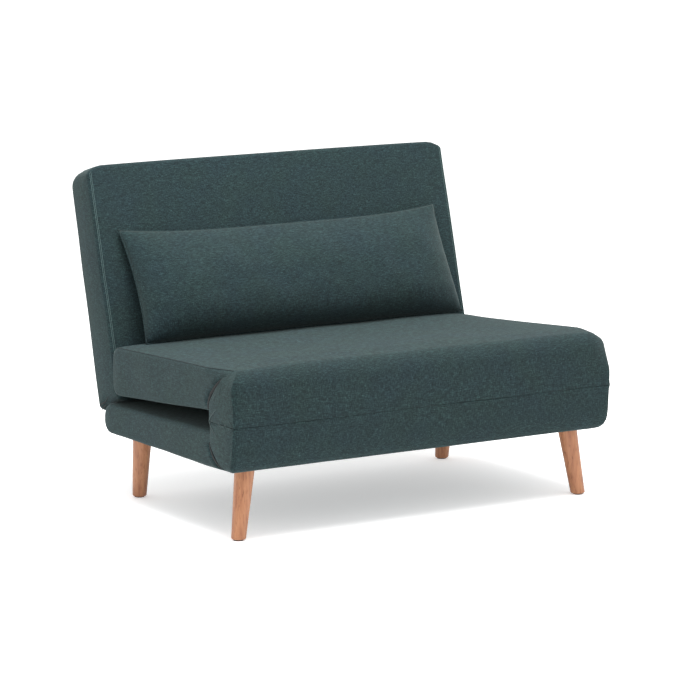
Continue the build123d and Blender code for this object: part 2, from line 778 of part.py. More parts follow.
def cushion(reach, inset):
    """The cushion's profile, drawn in by inset, across the sofa."""
    low = Vector(low_y, low_z + 2 * inset)
    high = Vector(high_y, high_z - 2 * inset)
    belly = Vector(low_y - 62 + inset, low_z + 70)
    back_z = (low_z + high_z) / 2
    with BuildPart() as block:
        with BuildSketch(side):
            with BuildLine():
                ThreePointArc(low, (low_y - 42 + inset, low_z + 25 + inset), belly)
                ThreePointArc(belly, (low_y - 18 + inset, low_z + 210), high)
                ThreePointArc(high, (back_front_y(back_z) - 8 - inset, back_z), low)
            make_face()
        extrude(amount=reach, both=True)
    return block.part


with BuildPart() as cushion_cover:
    add(cushion(cushion_half, 0.0))
    add(cushion(cushion_half - cushion_cloth, cushion_cloth), mode=Mode.SUBTRACT)
save(cushion_cover, "cushion_cover")
with BuildPart() as cushion_filling:
    add(cushion(cushion_half - cushion_cloth - part_gap, cushion_cloth + part_gap))
save(cushion_filling, "cushion_filling")
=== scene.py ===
import json
from math import atan2, ceil, cos, pi, radians, sin, sqrt, tan

import bmesh
import bpy
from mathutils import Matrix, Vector, noise


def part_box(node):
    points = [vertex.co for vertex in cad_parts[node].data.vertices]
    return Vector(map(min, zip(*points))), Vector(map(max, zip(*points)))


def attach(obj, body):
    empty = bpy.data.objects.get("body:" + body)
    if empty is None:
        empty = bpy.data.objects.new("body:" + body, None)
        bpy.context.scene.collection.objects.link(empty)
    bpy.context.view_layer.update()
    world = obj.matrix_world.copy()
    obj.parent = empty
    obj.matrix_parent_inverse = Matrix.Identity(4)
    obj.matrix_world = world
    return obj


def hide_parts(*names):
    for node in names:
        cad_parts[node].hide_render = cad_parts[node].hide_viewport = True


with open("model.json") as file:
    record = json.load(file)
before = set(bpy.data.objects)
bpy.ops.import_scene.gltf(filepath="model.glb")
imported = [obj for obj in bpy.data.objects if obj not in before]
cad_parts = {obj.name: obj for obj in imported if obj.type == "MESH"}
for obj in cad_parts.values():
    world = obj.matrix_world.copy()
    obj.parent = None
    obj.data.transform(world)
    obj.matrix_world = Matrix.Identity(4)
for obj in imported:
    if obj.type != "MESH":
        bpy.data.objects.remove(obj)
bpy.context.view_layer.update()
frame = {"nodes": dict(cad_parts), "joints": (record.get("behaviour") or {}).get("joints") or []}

# The room: a white floor and sky, big soft lights and a long lens from the front left.
# None of it is part of the sofa; the floor only catches its shadow.
MM = 0.001


def linear(code):
    """An sRGB hex colour as linear red, green, blue and alpha."""
    parts = [int(code[i:i + 2], 16) / 255 for i in (1, 3, 5)]
    return [c / 12.92 if c <= 0.04045 else ((c + 0.055) / 1.055) ** 2.4 for c in parts] + [1.0]


def add_node(tree, kind, links=None, **settings):
    """Adds a node with its settings; links maps an input to another node's output."""
    made = tree.nodes.new("ShaderNode" + kind)
    for key, value in settings.items():
        if key in made.inputs:
            made.inputs[key].default_value = value
        else:
            setattr(made, key, value)
    for key, source in (links or {}).items():
        tree.links.new(source, made.inputs[key])
    return made


def new_material(name, **shader):
    """A material with its shader's own sockets set, and its node tree."""
    made = bpy.data.materials.new(name)
    made.use_nodes = True
    surface = made.node_tree.nodes["Principled BSDF"]
    for key, value in shader.items():
        surface.inputs[key.replace("_", " ")].default_value = value
    return made, made.node_tree, surface


def colour_ramp(tree, source, stops):
    """Colours by a value; stops are (position, hex colour), the lowest first."""
    made = add_node(tree, "ValToRGB", {"Fac": source})
    marks = made.color_ramp.elements
    for mark, (position, colour) in zip(marks, (stops[0], stops[-1])):
        mark.position, mark.color = position, linear(colour)
    for position, colour in stops[1:-1]:
        marks.new(position).color = linear(colour)
    return made.outputs[0]


def multiplied(tree, first, second, share):
    """Two colours multiplied, the second one by a share."""
    blend = add_node(tree, "Mix", data_type="RGBA", blend_type="MULTIPLY")
    blend.inputs[0].default_value = share
    tree.links.new(first, blend.inputs[6])
    tree.links.new(second, blend.inputs[7])
    return blend.outputs[2]


def emboss(tree, surface, height, strength, distance):
    """Raises the surface's shading by a height value."""
    bump = add_node(tree, "Bump", {"Height": height}, Strength=strength, Distance=distance)
    tree.links.new(bump.outputs[0], surface.inputs["Normal"])


scene = bpy.context.scene
camera = bpy.data.objects.new("camera", bpy.data.cameras.new("camera"))
scene.collection.objects.link(camera)
camera.location = (-5.2734, -8.4294, 2.1143)
camera.rotation_euler = (radians(90 - 9.78), 0, radians(-32.22))
camera.data.lens = 187.12
camera.data.sensor_width = 36
camera.data.clip_end = 60
scene.camera = camera

world = bpy.data.worlds.new("studio")
world.use_nodes = True
world.node_tree.nodes["Background"].inputs["Color"].default_value = (1, 1, 1, 1)
world.node_tree.nodes["Background"].inputs["Strength"].default_value = 1.0
scene.world = world
scene.view_settings.view_transform = "Standard"


def soft_light(name, place, target, size, power):
    """A rectangular lamp, aimed at a target point."""
    lamp = bpy.data.lights.new(name, "AREA")
    lamp.shape = "RECTANGLE"
    lamp.size, lamp.size_y = size
    lamp.energy = power
    holder = bpy.data.objects.new(name, lamp)
    scene.collection.objects.link(holder)
    holder.location = place
    aim = Vector(target) - Vector(place)
    holder.rotation_euler = aim.to_track_quat("-Z", "Y").to_euler()


soft_light("overhead", (-0.4, -0.6, 3.4), (0, 0.1, 0.3), (2.6, 2.0), 190)
soft_light("left_window", (-3.4, -1.6, 1.9), (0, 0, 0.4), (2.0, 2.0), 2)
soft_light("right_fill", (3.2, -2.6, 1.6), (0.2, 0, 0.4), (2.4, 1.8), 8)

# Matt white vinyl with a glow of its own, so the floor runs into the sky without a line.
floor_paint, tree, surface = new_material(
    "white_studio_vinyl", Roughness=0.9, Emission_Strength=0.35
)
surface.inputs["Emission Color"].default_value = (1, 1, 1, 1)
surface.inputs["Base Color"].default_value = linear("#fbfbfb")
floor_mesh = bpy.data.meshes.new("floor")
FLOOR = 30  # half its size, in metres
floor_mesh.from_pydata(
    [(-FLOOR, -FLOOR, 0), (FLOOR, -FLOOR, 0), (FLOOR, FLOOR, 0), (-FLOOR, FLOOR, 0)], [],
    [(0, 1, 2, 3)],
)
floor = bpy.data.objects.new("floor", floor_mesh)
floor.data.materials.append(floor_paint)
scene.collection.objects.link(floor)

# Base panel: a foam slab on a slatted steel frame inside a sewn woven polyester sleeve,
# boxed at the sides, with a foam lip at the fold. The cloth is a dark teal melange:
# blue-green and near-black yarns woven plain, so it looks flecked close to and even afar.
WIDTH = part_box("base_cover")[1][0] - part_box("base_cover")[0][0]
HALF = WIDTH / 2


def joint_line(name):
    """The depth and height, as (y, z), of a hinge that runs across the sofa."""
    return [j for j in frame["joints"] if j["name"] == name][0]["pos_m"][1:]


FOLD_Y, FOLD_Z = joint_line("seat_unfold")
YARN = 0.9 * MM  # thread spacing, drawn twice as coarse as the real cloth so that it shows


def woven_cloth(name, shade="#172527", deep="#091214", light="#334949"):
    """Plain-woven melange polyester: short flecks along both threads and a soft, dry sheen."""
    made, tree, surface = new_material(
        name, Roughness=0.93, Specular_IOR_Level=0.18, Sheen_Weight=0.14, Sheen_Roughness=0.55,
    )
    surface.inputs["Sheen Tint"].default_value = linear("#b6c8c4")
    place = add_node(tree, "TexCoord").outputs["Object"]
    flecks = []
    for stretch in ((1.0, 1.0, 0.12), (0.12, 0.12, 1.0)):
        spread = add_node(tree, "Mapping", {"Vector": place}, Scale=stretch)
        flecks.append(add_node(tree, "TexNoise", {"Vector": spread.outputs[0]},
                               Scale=1 / (1.5 * YARN), Detail=3, Roughness=0.7))
    both = add_node(tree, "Math", {0: flecks[0].outputs[0], 1: flecks[1].outputs[0]},
                    operation="ADD")
    half = add_node(tree, "Math", {0: both.outputs[0]}, operation="MULTIPLY")
    half.inputs[1].default_value = 0.5
    weave = colour_ramp(tree, half.outputs[0], ((0.36, deep), (0.5, shade), (0.66, light)))
    broad = add_node(tree, "TexNoise", {"Vector": place}, Scale=9.0, Detail=4, Roughness=0.6)
    tint = colour_ramp(tree, broad.outputs[0], ((0.35, "#f0f6f2"), (0.7, "#e8eefa")))
    tree.links.new(multiplied(tree, weave, tint, 1.0), surface.inputs["Base Color"])
    emboss(tree, surface, half.outputs[0], 0.35, 0.6 * MM)
    return made


cloth = woven_cloth("polyester_melange_woven")


def rounded(points, radii, step=9 * MM):
    """A closed outline in (y, z) with its corners as arcs, sampled every step or finer."""
    out = []
    count = len(points)
    for i in range(count):
        before = Vector(points[i - 1])
        here = Vector(points[i])
        after = Vector(points[(i + 1) % count])
        a, b = (before - here).normalized(), (after - here).normalized()
        angle = a.angle(b)
        reach = min(radii[i] / tan(angle / 2), 0.49 * (before - here).length,
                    0.49 * (after - here).length)
        radius = reach * tan(angle / 2)
        start, end = here + a * reach, here + b * reach
        centre = here + (a + b).normalized() * (radius / sin(angle / 2))
        t0 = atan2(start.y - centre.y, start.x - centre.x)
        t1 = atan2(end.y - centre.y, end.x - centre.x)
        turn = (t1 - t0 + pi) % (2 * pi) - pi
        bits = max(3, ceil(abs(turn) * radius / (step * 0.4)))
        for k in range(bits + 1):
            t = t0 + turn * k / bits
            out.append(centre + Vector((cos(t), sin(t))) * radius)
    filled = []
    for i, p in enumerate(out):
        q = out[(i + 1) % len(out)]
        bits = max(1, ceil((q - p).length / step))
        filled += [p.lerp(q, k / bits) for k in range(bits)]
    return filled


def into(path, spine):
    """The nearest point of a spine, a line of (y, z) points, to each point of a path."""
    found = []
    for p in path:
        best = None
        for a, b in zip(spine, spine[1:]):
            a, b = Vector(a), Vector(b)
            t = max(0.0, min(1.0, (p - a).dot(b - a) / (b - a).length_squared))
            near = a.lerp(b, t)
            if best is None or (p - near).length < (p - best).length:
                best = near
        found.append(best)
    return found


EDGE_STEPS = 6  # steps round a panel's soft edge
SIDE_SHARES = (0.08, 0.2, 0.36, 0.54, 0.74, 0.92, 1.0)  # a side's rings, edge to spine
SIDE_RINGS = EDGE_STEPS + 1 + len(SIDE_SHARES)
SEAM_STATION = 2  # the ring that the boxing's seam runs along
PULLED_STATION, SEAM_PULL = 4, 1.0 * MM  # the ring that the stitching pulls in, and by how much
ACROSS = 60  # steps between a panel's two edges


def mesh_piece(name, mesh):
    """A smooth-shaded object from a finished bmesh."""
    data = bpy.data.meshes.new(name)
    mesh.to_mesh(data)
    mesh.free()
    data.shade_smooth()
    made = bpy.data.objects.new(name, data)
    scene.collection.objects.link(made)
    return made


def boxed_panel(name, path, spine, half, edge, side_crown, shape=None):
    """A boxed cushion: the outline across the sofa, soft edges, and crowned side faces."""
    count = len(path)
    normals = []
    for i in range(count):
        along = path[(i + 1) % count] - path[i - 1]
        normals.append(Vector((along.y, -along.x)).normalized())
    area = sum(path[i - 1].x * path[i].y - path[i].x * path[i - 1].y for i in range(count))
    if area > 0:
        normals = [-n for n in normals]
    inner = into(path, spine)
    stations = []  # (x, inset by the normals, share of the way to the spine)
    for k in range(EDGE_STEPS + 1):
        a = k / EDGE_STEPS * pi / 2
        pull = SEAM_PULL if k == PULLED_STATION else 0.0
        stations.append((half - edge + edge * sin(a), edge * (1 - cos(a)) + pull, 0.0))
    for share in SIDE_SHARES:
        stations.append((half + side_crown * (1 - (1 - share) ** 2), edge, share))
    middle = [-half + edge + (2 * half - 2 * edge) * k / ACROSS for k in range(1, ACROSS)]
    rings = [(-x, i, s) for x, i, s in reversed(stations)]
    rings += [(x, 0.0, 0.0) for x in middle] + stations
    mesh = bmesh.new()
    rows = []
    places = []
    for x, inset, share in rings:
        row = []
        for p, n, m in zip(path, normals, inner):
            q = (p + n * inset).lerp(m, share)
            spot = Vector((x, q.x, q.y))
            if shape:
                spot = shape(spot)
            row.append(mesh.verts.new(spot))
        rows.append(row)
        places.append([v.co.copy() for v in row])
    for low, high in zip(rows, rows[1:]):
        for i in range(count):
            j = (i + 1) % count
            mesh.faces.new((low[i], low[j], high[j], high[i]))
    bmesh.ops.remove_doubles(mesh, verts=mesh.verts, dist=0.4 * MM)
    bmesh.ops.recalc_face_normals(mesh, faces=mesh.faces)
    return mesh_piece(name, mesh), places


def finish_piece(piece, material, body):
    """Gives a piece its material and its body."""
    piece.data.materials.clear()
    piece.data.materials.append(material)
    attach(piece, body)


def ripple(spot, size, depth):
    """A small, smooth unevenness, as padding gives under stretched cloth."""
    return noise.noise(Vector(spot) / size) * depth


# Far-off places to read the ripple at, so that x and y each get their own.
FOR_X, FOR_Y = Vector((3, 1, 2)), Vector((7, 5, 1))


def at(y, z):
    """A side-profile point in millimetres behind the fold line and above the floor."""
    return (FOLD_Y + y * MM, z * MM)


def ramp(value, start, reach):
    """0 up to start, 1 from start + reach on, and straight between."""
    return max(0.0, min(1.0, (value - start) / reach))


def crown(x, half):
    """A filled panel's swell across the sofa: 1 in the middle, 0 at both sides."""
    return 1 - min(1.0, abs(x) / half) ** 4


def near_end(x, half, reach):
    """0 in the middle of a panel, rising to 1 at its sides over the last reach."""
    return max(0.0, (abs(x) - half + reach) / reach)


LIP_RISE = [(118, 245), (102, 218), (74, 203), (50, 194)]  # rear edge of the lip's end, low half
LIP_TOP = [(125, 366), (112, 386), (86, 412), (56, 436)]  # and its high half
CREASE_DEEP, CREASE_WIDE = 13, 15  # mm that the cloth is pulled in, and over what distance
GATHER_DEEP, GATHER_WIDE = 1.6, 46  # the same of the small gathers beside it


def lip_crease(spot, edge):
    """How deep the cloth is pulled in beside the lip's end, in metres, at a side-face point."""
    y, z = (spot.y - FOLD_Y) / MM, spot.z / MM
    nearest = min(
        (Vector((y, z)) - Vector(a).lerp(Vector(b), k / 4)).length
        for a, b in zip(edge, edge[1:]) for k in range(5)
    )
    gather = 0.0
    if nearest > 6:
        gather = GATHER_DEEP * sin(y * 0.62 + 0.02 * z) * max(0.0, 1 - nearest / GATHER_WIDE)
    return (CREASE_DEEP * max(0.0, 1 - nearest / CREASE_WIDE) ** 1.3 + gather) * MM


LOW_CORNER, HIGH_CORNER = 40 * MM, 52 * MM  # radii of the front's corners, seen from the front
FRONT_LOW, FRONT_HIGH = 0.190, 0.460  # lowest and highest points of the front
LEFT_SHARE = 0.45  # of the low radius: the boxed end on the left is pulled squarer
PROUD = 2 * MM  # how far the lip's ends stand out of the side
BASE_CROWN, SEAT_CROWN = 5 * MM, 7 * MM  # how far the middle of each top swells


def round_ends(spot):
    """Rounds the front's four corners in the front view, fading out behind the lip."""
    front = max(0.0, min(1.0, 1.3 - (spot.y - FOLD_Y) / 0.11))
    side = 1 if spot.x > 0 else -1
    for radius, depth in ((LOW_CORNER, spot.z - FRONT_LOW), (HIGH_CORNER, FRONT_HIGH - spot.z)):
        if side < 0 and radius == LOW_CORNER:
            radius *= LEFT_SHARE
        if depth < radius and abs(spot.x) > HALF - radius:
            short = radius - max(0.0, depth)
            limit = HALF - radius + sqrt(max(0.0, radius ** 2 - short ** 2)) + PROUD
            if abs(spot.x) > limit:
                spot.x = side * (abs(spot.x) + (limit - abs(spot.x)) * front)
    return spot


def base_shape(spot):
    """The base's top swells behind the lip, and its ends are a little uneven."""
    top, back = ramp(spot.z, 0.25, 0.03), ramp(spot.y - FOLD_Y, 0.12, 0.05)
    spot.z += BASE_CROWN * crown(spot.x, HALF) * top * back
    corner = near_end(spot.x, HALF, 0.05)
    spot.z += ripple(spot, 0.16, 1.6 * MM) + ripple(spot, 0.05, 0.5 * MM) * corner
    spot.x += ripple(spot + FOR_X, 0.14, 1.8 * MM) * corner
    spot.y += ripple(spot + FOR_Y, 0.2, 1.5 * MM)
    if abs(spot.x) > HALF - 8 * MM:
        spot.x -= lip_crease(spot, LIP_RISE) * (1 if spot.x > 0 else -1)
    return round_ends(spot)


SIDE = HALF - 1 * MM
SIDES = ((-1, "left"), (1, "right"))
base_path = rounded(
    [at(-7.5, 313.1), at(98, 312.9), at(124, 286), at(706, 272), at(706, 190), at(11, 190),
     at(-3, 235)],
    [1.5 * MM, 10 * MM, 12 * MM, 40 * MM, 34 * MM, 26 * MM, 120 * MM],
)
base_panel, _ = boxed_panel(
    "base_sleeve", base_path, [at(50, 246), at(655, 231)], SIDE, edge=9 * MM,
    side_crown=3 * MM, shape=base_shape
)
finish_piece(base_panel, cloth, "base")
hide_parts("base_cover", "base_foam")


def lip_shape(spot):
    """The lip follows the front's own unevenness, so the two stay together."""
    corner = near_end(spot.x, HALF, 0.05)
    rise = spot.z - FOLD_Z
    if abs(rise) < 9 * MM and abs(spot.x) > HALF - 6 * MM:
        spot.z = FOLD_Z + (0.5 * MM if rise > 0 else -0.5 * MM)
        spot.x = (HALF + PROUD) * (1 if spot.x > 0 else -1)
    spot.x += ripple(spot + FOR_X, 0.14, 1.2 * MM) * corner
    spot.y += ripple(spot + FOR_Y, 0.2, 1.5 * MM)
    return round_ends(spot)


# Front lip, lower half: the foam roll that closes the front below the fold, whose D-shaped
# end is boxed by the front's cloth and stands a little proud of the side.
lip_low_path = rounded(
    [at(-7.1, 312.9), at(122, 312.7), at(120, 246), at(76, 203), at(30, 191), at(12, 192),
     at(-2, 235)],
    [1.5 * MM, 4 * MM, 22 * MM, 60 * MM, 12 * MM, 16 * MM, 120 * MM],
)
lip_low, _ = boxed_panel(
    "front_lip_low", lip_low_path, [at(36, 290), at(70, 270)], HALF + PROUD, edge=6 * MM,
    side_crown=2 * MM, shape=lip_shape
)
finish_piece(lip_low, cloth, "base")

# Seat panel: foam on both faces of its frame in the same sleeve, as its underside becomes
# the middle of the bed. The boxing is sewn to the top with a plain seam that pulls in.
END_SLACK, END_DROP = 20 * MM, 9 * MM  # how far the right top corner falls back and down
REAR_SAG = 19 * MM  # at the right rear corner of the top


def fall_back(spot):
    """Lets the front's top corners fall back, the right one more; gives how far each does."""
    front = max(0.0, 1 - (spot.y - FOLD_Y) / 0.10)
    slack = near_end(spot.x, HALF, 0.06) ** 2 * front * (1.0 if spot.x > 0 else 0.2)
    spot.y += END_SLACK * slack * ramp(spot.z, 0.36, 0.06)
    return slack


def seat_shape(spot):
    """The seat's top swells, and its cloth is slack at the ends and sags at the right rear."""
    fall, top = crown(spot.x, HALF), ramp(spot.z, 0.40, 0.04)
    run, behind = ramp(spot.y - FOLD_Y, 0.01, 0.10), ramp(spot.y - FOLD_Y, 0.12, 0.05)
    low = max(0.0, min(1.0, (0.345 - spot.z) / 0.02)) * behind
    spot.z += SEAT_CROWN * fall * top * run - 2 * MM * fall * low
    corner = near_end(spot.x, HALF, 0.06)
    spot.z -= END_DROP * fall_back(spot) * top
    spot.z += ripple(spot, 0.18, 2.0 * MM)
    spot.x += ripple(spot + FOR_X, 0.12, 2.2 * MM) * corner
    spot.y += ripple(spot + FOR_Y, 0.22, 1.6 * MM)
    if abs(spot.x) > HALF - 8 * MM:
        spot.x -= lip_crease(spot, LIP_TOP) * (1 if spot.x > 0 else -1)
    sag = max(0.0, (spot.x - HALF + 0.13) / 0.13) ** 1.5
    spot.z -= REAR_SAG * sag * top * ramp(spot.y - FOLD_Y, 0.13, 0.45)
    return round_ends(spot)


seat_path = rounded(
    [at(-7.5, 313.9), at(98, 314.2), at(124, 341), at(656, 300), at(654, 434),
     at(-2, 461), at(-8, 345)],
    [1.5 * MM, 10 * MM, 12 * MM, 30 * MM, 34 * MM, 48 * MM, 160 * MM],
)
seat_panel, seat_places = boxed_panel(
    "seat_sleeve", seat_path, [at(58, 388), at(590, 368)], SIDE, edge=9 * MM,
    side_crown=3 * MM, shape=seat_shape
)
finish_piece(seat_panel, cloth, "seat")
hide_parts("seat_cover", "seat_foam")


def lip_top_shape(spot):
    """As the seat's own front: its ends fall back at the top corners."""
    fall_back(spot)
    return lip_shape(spot)


# Front lip, upper half: the same foam roll above the fold, carried by the seat, so that the
# sofa's front looks like one padded face when it is closed.
lip_top_path = rounded(
    [at(-7.1, 314.1), at(124, 314.3), at(126, 364), at(88, 411), at(56, 441), at(2, 446),
     at(-7.6, 345)],
    [1.5 * MM, 4 * MM, 20 * MM, 120 * MM, 16 * MM, 40 * MM, 160 * MM],
)
lip_top, _ = boxed_panel(
    "front_lip_top", lip_top_path, [at(36, 340), at(70, 360)], HALF + PROUD, edge=6 * MM,
    side_crown=2 * MM, shape=lip_top_shape
)
finish_piece(lip_top, cloth, "seat")


# Seams and folds: plain seams close the seat's top edge in a darker thread, top-stitching
# is in a paler one that catches the light, and where the front's cloth tucks in behind the
# lip's end the shade of the deep fold is painted on as a near-black strip.
def tube_along(name, line, radius, colour_of_thread, body, beads=0.0):
    """A thread or a seam as a fine tube along a line; beads swell it once every so many metres."""
    fine = []
    step = beads / 6 if beads else 8 * MM
    for a, b in zip(line, line[1:]):
        bits = max(1, ceil((b - a).length / step))
        fine += [a.lerp(b, k / bits) for k in range(bits)]
    fine.append(line[-1])
    mesh = bmesh.new()
    rings = []
    run = 0.0
    for i, p in enumerate(fine):
        ahead, behind = fine[min(i + 1, len(fine) - 1)], fine[max(i - 1, 0)]
        run += (p - behind).length if i else 0.0
        along = (ahead - behind).normalized()
        across = along.cross(Vector((0.31, 0.2, 0.93))).normalized()
        up = along.cross(across)
        swell = radius * (0.25 + 0.75 * sqrt(abs(sin(pi * run / beads)))) if beads else radius
        rings.append([mesh.verts.new(p + (across * cos(t) + up * sin(t)) * swell)
                      for t in (k * pi / 3 for k in range(6))])
    for low, high in zip(rings, rings[1:]):
        for k in range(6):
            mesh.faces.new((low[k], low[(k + 1) % 6], high[(k + 1) % 6], high[k]))
    mesh.faces.new(rings[0][::-1])
    mesh.faces.new(rings[-1])
    bmesh.ops.recalc_face_normals(mesh, faces=mesh.faces)
    made = mesh_piece(name, mesh)
    finish_piece(made, colour_of_thread, body)
    return made


def thread(name, colour):
    """Twisted matt thread: a fine flicker between its colour and one a third lighter."""
    made, tree, surface = new_material(name, Roughness=0.7, Specular_IOR_Level=0.3)
    place = add_node(tree, "TexCoord").outputs["Object"]
    twist = add_node(tree, "TexNoise", {"Vector": place}, Scale=900.0, Detail=2)
    flicker = add_node(tree, "ValToRGB", {"Fac": twist.outputs[0]})
    low, high = flicker.color_ramp.elements
    low.position, low.color = 0.35, linear(colour)
    high.color = [c * 1.3 for c in linear(colour)[:3]] + [1.0]
    tree.links.new(flicker.outputs[0], surface.inputs["Base Color"])
    return made


dark_thread = thread("polyester_thread_dark", "#182123")
# Painted shade: a near-black colour for the strips laid along the deep folds, standing in for the
# shadow in them.
fold_shade = thread("polyester_melange_in_fold", "#060a0b")
pale_thread = thread("polyester_thread_pale", "#4c605f")


def seam_line(places, side, keep, lift):
    """The part of a side's seam ring whose points pass keep, raised along x by lift."""
    ring = SIDE_RINGS - 1 - SEAM_STATION if side < 0 else SEAM_STATION - SIDE_RINGS
    line = [p for p in places[ring] if keep((p.y - FOLD_Y) / MM, p.z / MM)]
    line.sort(key=lambda p: (round(p.y, 4), p.z))
    return [p + Vector((lift if p.x > 0 else -lift, 0, 0)) for p in line]


def fold_shadow_strip(name, side, half, body, points, width):
    """A strip of painted shade along a deep fold, widest in its middle, on one side of the sofa."""
    line = [Vector((side * half, *p)) for p in points]
    fine = [a.lerp(b, k / 8) for a, b in zip(line, line[1:]) for k in range(8)] + [line[-1]]
    made = tube_along(name, fine, width, fold_shade, body)
    centre = sum(fine, Vector()) / len(fine)
    reach = max((p - centre).length for p in fine)
    for v in made.data.vertices:
        share = min(1.0, (v.co - centre).length / reach)
        nearest = min(fine, key=lambda p: (p - v.co).length)
        v.co = nearest + (v.co - nearest) * (1 - 0.8 * share ** 2)
        v.co.x = side * half + (v.co.x - side * half) * 0.2
    return made


# Painted shade: near-black strips along the folds beside the lip's ends, on both sides.
for side, name in SIDES:
    fold_shadow_strip("lip_fold_top_" + name, side, HALF + 1.5 * MM, "seat",
           [at(126, 345), at(127, 362), at(113, 387), at(87, 413), at(60, 434)], 4.6 * MM)
    fold_shadow_strip("lip_fold_low_" + name, side, HALF + 1.5 * MM, "base",
           [at(121, 262), at(119, 245), at(100, 220), at(76, 204), at(56, 198)], 3.6 * MM)
for side, name in SIDES:
    top_edge = seam_line(seat_places, side, lambda y, z: z > 395 and 40 < y < 640, 0.4 * MM)
    tube_along("seat_edge_seam_" + name, top_edge, 1.1 * MM, dark_thread, "seat")

# Backrest: the same boxed panel, hinged at its foot; its front edges are top-stitched with
# a twin needle, so two rows of fine stitches run up each side. The cloth is folded and
# pleated where it turns in round the hinge at the foot; the shade in those folds is painted
# on as dark strips on each side.
PIVOT_Y, PIVOT_Z = joint_line("backrest_recline")
LEAN = radians(15.36)
BACK_FRONT, BACK_FOOT, BACK_TOP = -47, 36, 690  # mm out of the pivot's line and up from it
BACK_SWELL, TOP_SWELL = 5, 2.5  # mm that the front and rear, and the top edge, swell
TOP_CORNER_DROP, FOOT_CORNER_LIFT = 18, 10  # mm that the corners are drawn in
STITCH, STITCH_POINTS = 4.2 * MM, 80  # a stitch's length, and the points that a row runs through
BACK_HALF = (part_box("back_cover")[1][0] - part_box("back_cover")[0][0]) / 2


def on_back(u, v):
    """A (y, z) point given in millimetres out of the pivot and up the backrest."""
    return (PIVOT_Y + (u * cos(LEAN) + v * sin(LEAN)) * MM,
            PIVOT_Z + (v * cos(LEAN) - u * sin(LEAN)) * MM)


def back_local(spot):
    """Millimetres out of the pivot's line and up the backrest, for a point on it."""
    y, z = (spot.y - PIVOT_Y) / MM, (spot.z - PIVOT_Z) / MM
    return y * cos(LEAN) - z * sin(LEAN), y * sin(LEAN) + z * cos(LEAN)


def back_shape(spot):
    """The backrest swells front and rear, and its four corners are drawn in."""
    u, v = back_local(spot)
    across, end = crown(spot.x, BACK_HALF), near_end(spot.x, BACK_HALF, 0.05) ** 2
    front = max(0.0, min(1.0, (10 - u) / 40))
    height = ramp(v, BACK_FOOT, BACK_TOP - BACK_FOOT)
    swell = across * (1 - abs(2 * height - 1) ** 4)
    push = -BACK_SWELL * front * swell + BACK_SWELL * ramp(u, 20, 30) * swell
    lift = -TOP_CORNER_DROP * (end * max(0.0, (v - BACK_TOP + 60) / 60))
    lift += TOP_SWELL * across * max(0.0, (v - BACK_TOP + 40) / 40)
    lift += FOOT_CORNER_LIFT * (end * max(0.0, (BACK_FOOT + 50 - v) / 50))
    spot.y += (push * cos(LEAN) + lift * sin(LEAN)) * MM
    spot.z += (lift * cos(LEAN) - push * sin(LEAN)) * MM
    corner = near_end(spot.x, BACK_HALF, 0.06)
    spot.y += ripple(spot, 0.2, 1.8 * MM)
    spot.x += ripple(spot + FOR_X, 0.15, 2.0 * MM) * corner
    return spot


back_path = rounded(
    [on_back(BACK_FRONT, 36), on_back(34, 28), on_back(80, 6), on_back(59, 691),
     on_back(BACK_FRONT, 691)],
    [16 * MM, 20 * MM, 20 * MM, 42 * MM, 10 * MM],
)
back_panel, _ = boxed_panel(
    "back_sleeve", back_path, [on_back(12, 85), on_back(2, 640)], BACK_HALF, edge=10 * MM,
    side_crown=3 * MM, shape=back_shape
)
finish_piece(back_panel, cloth, "backrest")
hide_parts("back_cover", "back_foam", "back_rear_pad")
# Painted shade: dark strips along the fold and the pleat at the backrest's foot, on both sides.
for side, name in SIDES:
    fold_shadow_strip("back_foot_fold_" + name, side, BACK_HALF + 2.5 * MM, "backrest",
           [on_back(72, 34), on_back(52, 40), on_back(26, 44), on_back(6, 56)], 2.0 * MM)
    fold_shadow_strip("back_foot_pleat_" + name, side, BACK_HALF + 2.5 * MM, "backrest",
           [on_back(60, 20), on_back(44, 30), on_back(20, 36)], 1.6 * MM)
for side, name in SIDES:
    for row, inset in enumerate((6.5, 11.0)):  # mm in from the side
        line = []
        for k in range(STITCH_POINTS + 1):
            y, z = on_back(BACK_FRONT, 48 + (BACK_TOP - 54) * k / STITCH_POINTS)
            spot = back_shape(Vector((side * (BACK_HALF - inset * MM), y, z)))
            line.append(spot - Vector((0, 0.3 * MM * cos(LEAN), 0)))
        tube_along(f"back_stitches_{name}_{row}", line, 0.6 * MM, pale_thread, "backrest",
                   beads=STITCH)

# Loose cushion: two panels of the same cloth sewn round their edge and stuffed with fibre,
# so it is fat in the middle, thin and puckered at the seam, with four pointed corners.
CUSHION_WIDE, CUSHION_TALL = 1.040, 0.335  # seam to seam, filled
CUSHION_FOOT, CUSHION_TILT = (FOLD_Y + 0.602, 0.442), radians(27.5)
FULL_FRONT, FULL_REAR = 0.084, 0.056  # how far each panel stands off the seam's plane
PRESSED = 8  # mm that it stops short of the backrest's front, which swells towards it
END_TUCK, TOP_SAG = 14 * MM, 22 * MM  # how far the ends are drawn in and the top edge sags


